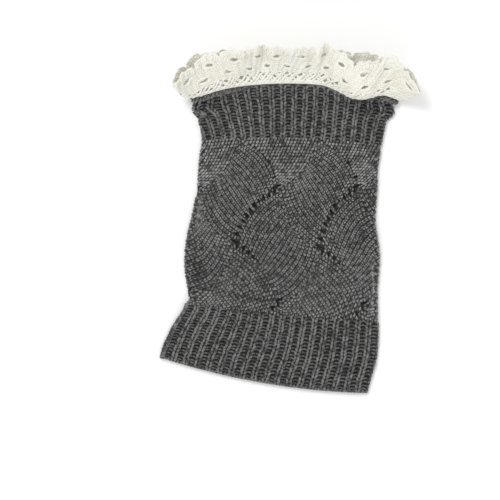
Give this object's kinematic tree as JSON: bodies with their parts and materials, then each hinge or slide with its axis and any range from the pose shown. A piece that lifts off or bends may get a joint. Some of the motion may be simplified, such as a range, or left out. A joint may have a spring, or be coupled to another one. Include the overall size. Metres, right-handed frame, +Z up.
{
  "type": "leg warmer",
  "caption": "Short knitted leg warmer lying flat, with ribbed cuffs, a panel of raised leaves and a gathered ruffle of scalloped eyelet lace at its mouth.",
  "frame": {"origin": "on the surface that the leg warmer lies on, under the middle of its bounding box", "axes": "+X across the leg, +Y along it from hem to mouth, +Z up, out of the front"},
  "size_m": [0.1745, 0.235, 0.0387],
  "materials": {
    "wool": "charcoal grey knitting, matte and slightly fuzzy",
    "lace": "cream cotton lace, matte"
  },
  "bodies": {
    "root": {"hem_cuff": "wool", "leg_panel": "wool", "mouth_cuff": "wool", "lace_front": "lace", "lace_back": "lace"}
  },
  "joints": []
}
